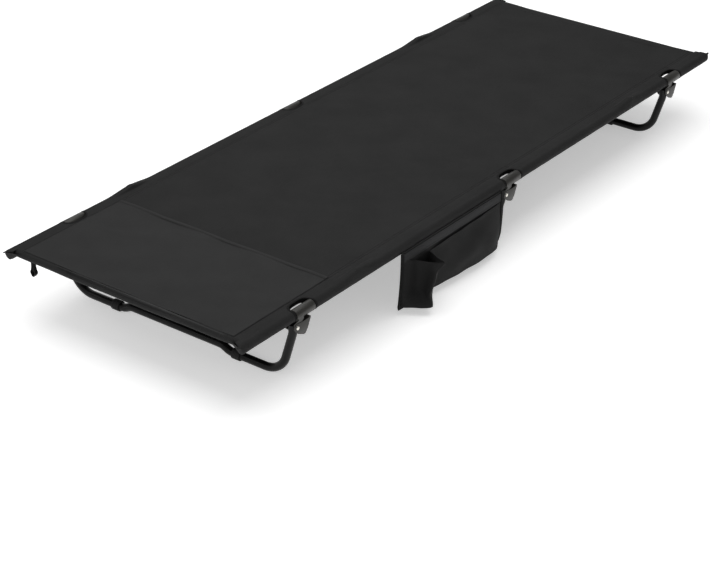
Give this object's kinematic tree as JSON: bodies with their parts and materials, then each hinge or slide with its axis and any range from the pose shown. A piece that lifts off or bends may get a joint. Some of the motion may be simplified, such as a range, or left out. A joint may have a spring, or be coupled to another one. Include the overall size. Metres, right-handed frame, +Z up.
{
  "type": "folding cot",
  "caption": "Low camp bed: a cloth deck sleeved over two jointed side rails, carried by three folding U-shaped tube legs, with a hanging side organizer and a pillow pocket.",
  "frame": {"origin": "middle of the footprint on the floor", "axes": "+X from the head end to the foot end, +Y across away from the organizer, +Z up"},
  "size_m": [1.9, 0.7494, 0.1777],
  "materials": {
    "rail": "gloss",
    "paint": "gloss",
    "saddle": "gloss",
    "rivet": "polished",
    "pin": "satin",
    "cap": "matte",
    "rubber": "matte",
    "cloth": "woven",
    "pillow": "smooth woven",
    "pouch": "woven",
    "webbing": "ribbed"
  },
  "bodies": {
    "middle_frame": {"rail_near_2": "rail", "rail_far_2": "rail", "rail_near_3": "rail", "rail_far_3": "rail", "rail_near_4": "rail", "rail_far_4": "rail", "fold_pin_head_near": "pin", "fold_pin_head_far": "pin", "fold_pin_foot_near": "pin", "fold_pin_foot_far": "pin", "saddle_middle_near": "saddle", "saddle_middle_far": "saddle", "leg_rivet_middle_near": "rivet", "leg_rivet_middle_far": "rivet", "deck_cloth_middle": "cloth"},
    "head_frame": {"rail_near_1": "rail", "rail_far_1": "rail", "end_cap_head_near": "cap", "end_cap_head_far": "cap", "end_bar_head": "paint", "saddle_head_near": "saddle", "saddle_head_far": "saddle", "leg_rivet_head_near": "rivet", "leg_rivet_head_far": "rivet", "deck_cloth_head": "cloth", "pillow_pocket": "pillow", "webbing_loop": "webbing"},
    "foot_frame": {"rail_near_5": "rail", "rail_far_5": "rail", "end_cap_foot_near": "cap", "end_cap_foot_far": "cap", "end_bar_foot": "paint", "saddle_foot_near": "saddle", "saddle_foot_far": "saddle", "leg_rivet_foot_near": "rivet", "leg_rivet_foot_far": "rivet", "deck_cloth_foot": "cloth"},
    "head_leg": {"leg_tube_head": "paint", "leg_stop_head_near": "paint", "leg_stop_head_far": "paint", "foot_ring_head_near": "rubber", "foot_ring_head_far": "rubber"},
    "middle_leg": {"leg_tube_middle": "paint", "leg_stop_middle_near": "paint", "leg_stop_middle_far": "paint", "foot_ring_middle_near": "rubber", "foot_ring_middle_far": "rubber"},
    "foot_leg": {"leg_tube_foot": "paint", "leg_stop_foot_near": "paint", "leg_stop_foot_far": "paint", "foot_ring_foot_near": "rubber", "foot_ring_foot_far": "rubber"},
    "organizer": {"organizer_panel": "pouch", "organizer_cup_pocket": "pouch", "organizer_wide_pocket": "pouch"}
  },
  "joints": [
    {"name": "head_fold", "type": "hinge", "parent": "middle_frame", "child": "head_frame", "pos_m": [-0.57, 0, 0.1745], "axis": [0, 1, 0], "range_deg": [0, 180]},
    {"name": "foot_fold", "type": "hinge", "parent": "middle_frame", "child": "foot_frame", "pos_m": [0.57, 0, 0.1745], "axis": [0, -1, 0], "range_deg": [0, 180]},
    {"name": "head_leg_fold", "type": "hinge", "parent": "head_frame", "child": "head_leg", "pos_m": [-0.782, 0, 0.136], "axis": [0, 1, 0], "range_deg": [0, 88]},
    {"name": "middle_leg_fold", "type": "hinge", "parent": "middle_frame", "child": "middle_leg", "pos_m": [-0.009, 0, 0.136], "axis": [0, 1, 0], "range_deg": [0, 88]},
    {"name": "foot_leg_fold", "type": "hinge", "parent": "foot_frame", "child": "foot_leg", "pos_m": [0.738, 0, 0.136], "axis": [0, 1, 0], "range_deg": [0, 88]},
    {"name": "organizer_swing", "type": "hinge", "parent": "middle_frame", "child": "organizer", "pos_m": [-0.226, -0.3103, 0.157], "axis": [1, 0, 0], "range_deg": [-80, 0]}
  ]
}
